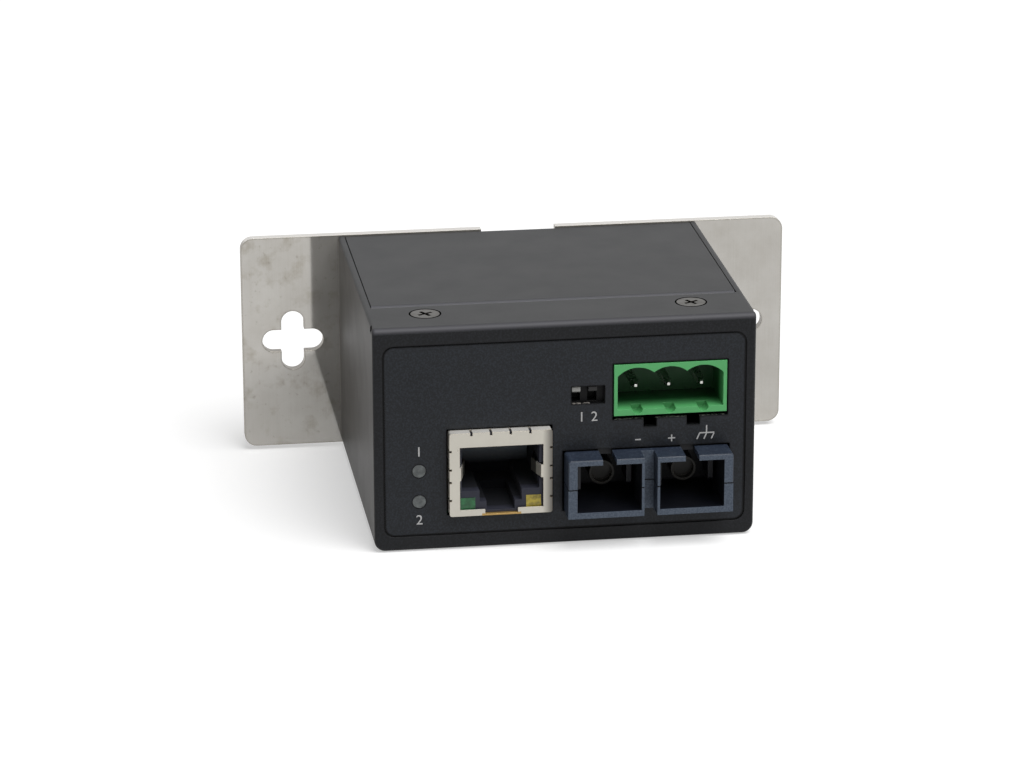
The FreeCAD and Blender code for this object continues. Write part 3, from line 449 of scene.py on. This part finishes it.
def plated(name, color, roughness):
    """Bright or dull plated metal with faint unevenness."""
    m = Mat(name, color, roughness, metallic=1.0)
    cloud = m.noise(1.5 * MM, 4)
    m.color(m.mix(cloud, shade(color, PLATED_CLOUD_SHADE), color))
    m.rough(m.spread(cloud, roughness - 0.06, roughness + 0.08))
    m.bump(m.noise(0.3 * MM, 2), 0.004 * MM, 0.4, soften=0.08 * MM)
    return m.mat


def tin_plate():
    """Matt tin plate of the jack's can: a painted highlight on top, painted shade on its right
    band, in the mouth and in the nicks, brown at cut edges, with bare copper under the mouth."""
    m = Mat("tin_plate", (0.55, 0.52, 0.46), 0.34, metallic=0.5)
    cloud = m.noise(2.2 * MM, 4)
    m.color(m.layers(
        m.mix(cloud, *TIN_CLOUD),
        (m.product(m.along("X", *SHADED_BAND_X), 0.95), TIN_BAND_SHADE),
        (m.facing("Z", 0.5, 0.9), TIN_TOP_HIGHLIGHT),
        (m.product(m.inside(JACK_MOUTH), 0.9), TIN_MOUTH_SHADE),
        *((m.inside(box), TIN_NICK_SHADE) for box in NICKS),
        (m.edges(0.1 * MM), TIN_CUT),
        (m.inside(COPPER_EDGE), COPPER),
    ))
    m.rough(m.spread(cloud, 0.27, 0.40))
    m.bump(m.noise(0.3 * MM, 2), 0.003 * MM, 0.4, soften=0.1 * MM)
    return m.mat


def moulded(name, color, roughness=0.45, grain=0.12 * MM, depth=0.005 * MM, vary=0.2, specular=0.5,
            edge_highlight=None, speckle_and_front_light=None, painted_shading_boxes=(), painted_shading_color=None, painted_shading_depth=None):
    """Moulded plastic with fine spark-erosion grain.

    Edges get flecks of a painted highlight in the edge colour. The front colour shows as fine
    speckles, and more of it, as painted light, where the surface faces forward.
    The shading colour fills the given boxes, or grows over a depth range behind the face: painted
    shade where it is darker than the plastic, painted light where it is lighter.
    """
    m = Mat(name, color, roughness, specular=specular)
    cloud = m.noise(2.5 * MM, 4)
    fine = m.noise(grain, 2)
    plastic = m.mix(cloud, shade(color, 1 - vary), color)
    if speckle_and_front_light:
        speckles = m.ramp(fine, 0.5, 0.68, 0, 0.4)
        front_light = m.product(m.facing("Y", -0.7, -0.95), m.ramp(fine, 0.35, 0.65, 0.45, 1))
        plastic = m.layers(plastic, (speckles, speckle_and_front_light), (front_light, speckle_and_front_light))
    if edge_highlight:
        edge_flecks = m.ramp(m.noise(0.3 * MM, 2), 0.35, 0.65, 0.3, 1)
        plastic = m.mix(m.product(m.edges(0.1 * MM), edge_flecks), plastic, edge_highlight)
    plastic = m.layers(plastic, *((m.inside(box), painted_shading_color) for box in painted_shading_boxes))
    if painted_shading_depth:
        plastic = m.mix(m.along("Y", *painted_shading_depth), plastic, painted_shading_color)
    m.color(plastic)
    m.rough(m.spread(cloud, roughness - 0.05, roughness + 0.07))
    m.bump(fine, depth, 0.5, soften=0.08 * MM)
    return m.mat


def jack_moulding():
    """Black plastic of the network jack: grey-blue in front, dull and darker inside as painted
    shade, with painted light on the upper part of its back wall."""
    m = Mat("jack_moulding", (0.02, 0.021, 0.03), 0.5, specular=0.2)
    back_wall = m.product(m.along("Y", *JACK_BACK_Y), m.facing("Y", -0.5, -0.9))
    wall_light = m.product(back_wall, m.along("Z", *JACK_WALL_LIGHT_Z))
    within = m.along("Y", *JACK_DEPTH_Y)
    front = m.mix(m.noise(2.5 * MM, 4), *JACK_FRONT)
    m.color(m.mix(within, front, m.mix(wall_light, JACK_INSIDE_SHADE, JACK_WALL_LIGHT)))
    m.rough(m.larger(m.product(within, 0.95), m.spread(m.noise(3 * MM, 3), 0.45, 0.58)))
    m.bump(m.noise(0.12 * MM, 2), 0.005 * MM, 0.5, soften=0.08 * MM)
    return m.mat


def translucent(name, color):
    """Clear or tinted light guide."""
    m = Mat(name, color, 0.3)
    m.bsdf.inputs["Subsurface Weight"].default_value = LIGHT_SCATTER
    m.bsdf.inputs["Subsurface Radius"].default_value = (LIGHT_SCATTER_RADIUS,) * 3
    cloud = m.flecks(0.7 * MM, 0.35, 0.65, 1, detail=3)
    m.color(m.mix(cloud, *(shade(color, factor) for factor in LIGHT_SHADES)))
    m.bump(m.noise(0.2 * MM, 2), 0.004 * MM, 0.4)
    return m.mat


def board_mask():
    """Green solder mask with faint copper relief."""
    m = Mat("solder_mask", (0.004, 0.03, 0.012), 0.3)
    tracks = m.add("ShaderNodeTexBrick", {"Scale": 1.0})
    for socket, color in zip(("Color1", "Color2", "Mortar"), (*BOARD_FIELDS, BOARD_TRACK)):
        tracks.inputs[socket].default_value = (*color, 1)
    m.link(m.scaled((BOARD_TRACK_SCALE,) * 3), tracks.inputs["Vector"])
    m.color(tracks.outputs["Color"])
    m.bump(tracks.outputs["Fac"], 0.03 * MM, 0.3)
    return m.mat


def ink():
    """Pale screen-printed ink."""
    m = Mat("pale_ink", (0.45, 0.45, 0.45), 0.55)
    m.color(m.mix(m.noise(0.3 * MM, 2), *INK_SHADES))
    return m.mat


def gap_shadow():
    """Black without any gloss: painted shadow for a narrow gap."""
    m = Mat("gap_shadow_black", (0.002, 0.002, 0.002), 1.0, specular=0.0)
    m.color(m.mix(m.noise(0.4 * MM, 2), *GAP_SHADOW_TONES))
    return m.mat


# --- materials of the CAD nodes -------------------------------------------------------------
def dress(names, material):
    """Gives CAD nodes a material in every slot."""
    for name in names:
        node = frame["nodes"][name]
        if not node.material_slots:
            node.data.materials.append(material)
        for slot in node.material_slots:
            slot.material = material


def dress_case():
    """Sheet metal, film and fasteners."""
    dress(["front_shell", "rear_cover"], powder_coat())
    dress(["face_overlay"], overlay_film())
    dress(["mounting_bracket"], stainless())
    dress(["cover_screws"], plated("black_oxide", (0.085, 0.08, 0.072), 0.34))
    dress(["cover_nuts", "bracket_screws", "bracket_nuts",
           "board_standoffs", "board_spacers", "board_screws"],
          plated("zinc_plate", (0.5, 0.5, 0.51), 0.32))


def dress_boards():
    """Circuit boards, the parts and pins on them, and the status lights."""
    dress(["main_board", "power_board"], board_mask())
    dress(["jack_contacts", "link_pins", "jack_pins"], plated("gold_flash", (0.7, 0.5, 0.2), 0.3))
    dress(["header_pins", "dip_pins", "optic_pins"], plated("tinned_pin", (0.6, 0.6, 0.57), 0.28))
    dress(["link_header", "magnetics", "controller_chip", "inductor", "regulator", "capacitors"],
          moulded("black_moulding", (0.012, 0.013, 0.015)))
    dress(["crystal"], plated("can_metal", (0.6, 0.6, 0.6), 0.3))
    dress(["status_leds"], moulded("led_case", (0.35, 0.34, 0.3)))
    dress(["light_pipe_upper", "light_pipe_lower"],
          translucent("frosted_light_pipe", (0.09, 0.1, 0.1)))


def dress_jack():
    """Can, body and light windows of the network jack."""
    dress(["jack_shield"], tin_plate())
    dress(["jack_housing"], jack_moulding())
    dress(["jack_light_green"], translucent("green_light_window", (0.012, 0.11, 0.035)))
    dress(["jack_light_yellow"], translucent("yellow_light_window", (0.33, 0.26, 0.03)))


def dress_optic():
    """Shells, latches and sleeves of the duplex receptacle."""
    dress(["optic_upper_shell", "optic_lower_shell", "optic_body"],
          moulded("slate_moulding", SLATE, 0.4, grain=0.25 * MM, depth=0.014 * MM, vary=0.4,
                  specular=0.26, edge_highlight=SLATE_EDGE_HIGHLIGHT, speckle_and_front_light=SLATE_SPECKLE_AND_FRONT_LIGHT,
                  painted_shading_boxes=PORT_SHADE_BOXES, painted_shading_color=SLATE_ROOM_SHADE))
    dress(["optic_latches"],
          moulded("dark_slate_moulding", LATCH, 0.4, specular=0.25,
                  painted_shading_boxes=(LATCH_FRONT,), painted_shading_color=LATCH_LIT))
    dress(["optic_sleeves"],
          moulded("sleeve_moulding", SLEEVE, 0.35, specular=0.25, edge_highlight=SLEEVE_EDGE_HIGHLIGHT))


def dress_power_and_switch():
    """Power header, setting switch and its levers."""
    dress(["header_body"],
          moulded("green_moulding", HEADER_GREEN, 0.38, specular=0.3, edge_highlight=HEADER_EDGE_HIGHLIGHT,
                  painted_shading_color=HEADER_DEPTH_SHADE, painted_shading_depth=HEADER_DEPTH_Y))
    dress(["dip_body"], moulded("switch_moulding", (0.005, 0.005, 0.0055), specular=0.15))
    dress(["dip_lever_1"], moulded("pale_moulding", (0.31, 0.31, 0.295)))
    # the second lever is the same moulding as the first, darkened as painted shade
    dress(["dip_lever_2"], moulded("lever_painted_shade", (0.02, 0.02, 0.02), specular=0.3))


# --- new pieces -----------------------------------------------------------------------------
def new_object(name, data):
    """Object linked into the scene."""
    obj = bpy.data.objects.new(name, data)
    bpy.context.scene.collection.objects.link(obj)
    return obj


def mesh_object(name, bm):
    """Object made of a bmesh, which is freed."""
    bmesh.ops.recalc_face_normals(bm, faces=bm.faces)
    mesh = bpy.data.meshes.new(name)
    bm.to_mesh(mesh)
    bm.free()
    return new_object(name, mesh)


def screw_gap(name, x, y, material):
    """Thin black ring of painted shadow in the gap between a flat screw head and its countersink.
    """
    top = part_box("front_shell")[1].z + GAP_LIFT
    bottom = top - GAP_DEPTH
    profile = ((GAP_INNER, top), (GAP_OUTER, top), (GAP_OUTER, bottom), (GAP_INNER, bottom))
    center_x = (FACE_ORIGIN["X"] + x) * MM
    center_y = (FACE_ORIGIN["Y"] + y) * MM
    bm = bmesh.new()
    rings = []
    for step in range(GAP_STEPS):
        angle = 2 * math.pi * step / GAP_STEPS
        sin, cos = math.sin(angle), math.cos(angle)
        rings.append([bm.verts.new((center_x + radius * cos, center_y + radius * sin, z))
                      for radius, z in profile])
    for step, ring in enumerate(rings):
        following = rings[(step + 1) % GAP_STEPS]
        for side in range(len(profile)):
            other = (side + 1) % len(profile)
            bm.faces.new((ring[side], ring[other], following[other], following[side]))
    obj = mesh_object(name, bm)
    obj.data.materials.append(material)
    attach(obj, ROOT)


def screw_gaps():
    """Painted shadow rings round the two screws in the top."""
    material = gap_shadow()
    for name, x, y in GAPS:
        screw_gap(name, x, y, material)


def film_place(x, z):
    """Point just in front of the film."""
    low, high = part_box("face_overlay")
    return Vector(((low.x + high.x) / 2 + x * MM, low.y - INK_LIFT, z * MM))


def keep_on_case(obj, material):
    """Gives a printed mark its ink and lets it ride on the case."""
    obj.data.materials.append(material)
    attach(obj, ROOT)


def printed_digits(name, text, x, z, material):
    """Digits printed on the film, centred on a place."""
    curve = bpy.data.curves.new(name, "FONT")
    curve.body = text
    curve.size = DIGIT_SIZE
    curve.align_x = "CENTER"
    curve.align_y = "CENTER"
    curve.space_word = DIGIT_SPACE
    obj = new_object(name, curve)
    obj.location = film_place(x, z)
    obj.rotation_euler = (math.pi / 2, 0, 0)
    keep_on_case(obj, material)


def printed_strokes(name, strokes, x, z, material):
    """Straight ink strokes between pairs of (x, z) offsets in millimetres from a place."""
    bm = bmesh.new()
    for start, end in strokes:
        a, b = film_place(x + start[0], z + start[1]), film_place(x + end[0], z + end[1])
        along = (b - a).normalized()
        side = Vector((along.z, 0, -along.x)) * STROKE_W / 2
        bm.faces.new([bm.verts.new(point) for point in (a - side, b - side, b + side, a + side)])
    keep_on_case(mesh_object(name, bm), material)


def printed_marks():
    """Plain numbers at the lights and the switch, and polarity and earth signs under the header."""
    material = ink()
    for name, text, x, z in DIGITS:
        printed_digits(name, text, x, z, material)
    for name, strokes, x, z in SIGNS:
        printed_strokes(name, strokes, x, z, material)


# --- stage ----------------------------------------------------------------------------------
def camera():
    """Long-lens camera to the left of the object, looking a little down."""
    sin_a, cos_a = math.sin(CAMERA_AZIMUTH), math.cos(CAMERA_AZIMUTH)
    sin_e, cos_e = math.sin(CAMERA_ELEVATION), math.cos(CAMERA_ELEVATION)
    front_light = Vector((sin_a * cos_e, cos_a * cos_e, -sin_e))
    data = bpy.data.cameras.new("camera")
    data.sensor_width = CAMERA_SENSOR
    data.lens = CAMERA_LENS
    data.clip_start, data.clip_end = CAMERA_CLIP
    eye = new_object("camera", data)
    aim = front_light.to_track_quat("-Z", "Y").to_matrix().to_4x4()
    turn = aim @ Matrix.Rotation(CAMERA_ROLL, 4, "Z")
    eye.matrix_world = Matrix.Translation(CAMERA_TARGET - front_light * CAMERA_DISTANCE) @ turn
    bpy.context.scene.camera = eye


def key_light():
    """Broad soft sun from the front right, high up."""
    data = bpy.data.lights.new("key", "SUN")
    data.energy = KEY_STRENGTH
    data.angle = KEY_SPREAD
    lamp = new_object("key", data)
    lamp.rotation_euler = (-KEY_FROM).to_track_quat("-Z", "Y").to_euler()


def seen(tree):
    """1 for the rays of the camera, of reflections and of clear materials, 0 for diffuse light."""
    path = tree.nodes.new("ShaderNodeLightPath")
    total = path.outputs["Is Camera Ray"]
    for name in ("Is Glossy Ray", "Is Transmission Ray"):
        largest = tree.nodes.new("ShaderNodeMath")
        largest.operation = "MAXIMUM"
        tree.links.new(total, largest.inputs[0])
        tree.links.new(path.outputs[name], largest.inputs[1])
        total = largest.outputs[0]
    return total


def seen_or_light(tree, shown, light):
    """Strength with one value where it is seen and another where it gives diffuse light."""
    node = tree.nodes.new("ShaderNodeMapRange")
    node.inputs["To Min"].default_value = light
    node.inputs["To Max"].default_value = shown
    tree.links.new(seen(tree), node.inputs["Value"])
    return node.outputs["Result"]


def floor():
    """Pale floor that is lifted to white where it is seen, and keeps the object's shadow."""
    mat = bpy.data.materials.new("floor_white")
    mat.use_nodes = True
    bsdf = mat.node_tree.nodes["Principled BSDF"]
    bsdf.inputs["Base Color"].default_value = (FLOOR_SHADE, FLOOR_SHADE, FLOOR_SHADE, 1)
    bsdf.inputs["Roughness"].default_value = 1.0
    bsdf.inputs["Specular IOR Level"].default_value = 0.0
    bsdf.inputs["Emission Color"].default_value = (1, 1, 1, 1)
    lift = seen_or_light(mat.node_tree, FLOOR_LIFT, 0.0)
    mat.node_tree.links.new(lift, bsdf.inputs["Emission Strength"])
    half = FLOOR_HALF
    corners = [(-half, -half, 0), (half, -half, 0), (half, half, 0), (-half, half, 0)]
    mesh = bpy.data.meshes.new("floor")
    mesh.from_pydata(corners, [], [(0, 1, 2, 3)])
    obj = new_object("floor", mesh)
    obj.location.z = -FLOOR_DROP
    obj.data.materials.append(mat)


def world():
    """White where it is seen, a plain soft light elsewhere."""
    scene_world = bpy.data.worlds.new("studio")
    bpy.context.scene.world = scene_world
    scene_world.use_nodes = True
    tree = scene_world.node_tree
    back = tree.nodes["Background"]
    back.inputs["Color"].default_value = (1, 1, 1, 1)
    tree.links.new(seen_or_light(tree, WORLD_SHOWN, WORLD_LIGHT), back.inputs["Strength"])


bpy.context.scene.view_settings.view_transform = "Standard"
camera()
world()
key_light()
floor()
dress_case()
dress_boards()
dress_jack()
dress_optic()
dress_power_and_switch()
screw_gaps()
printed_marks()
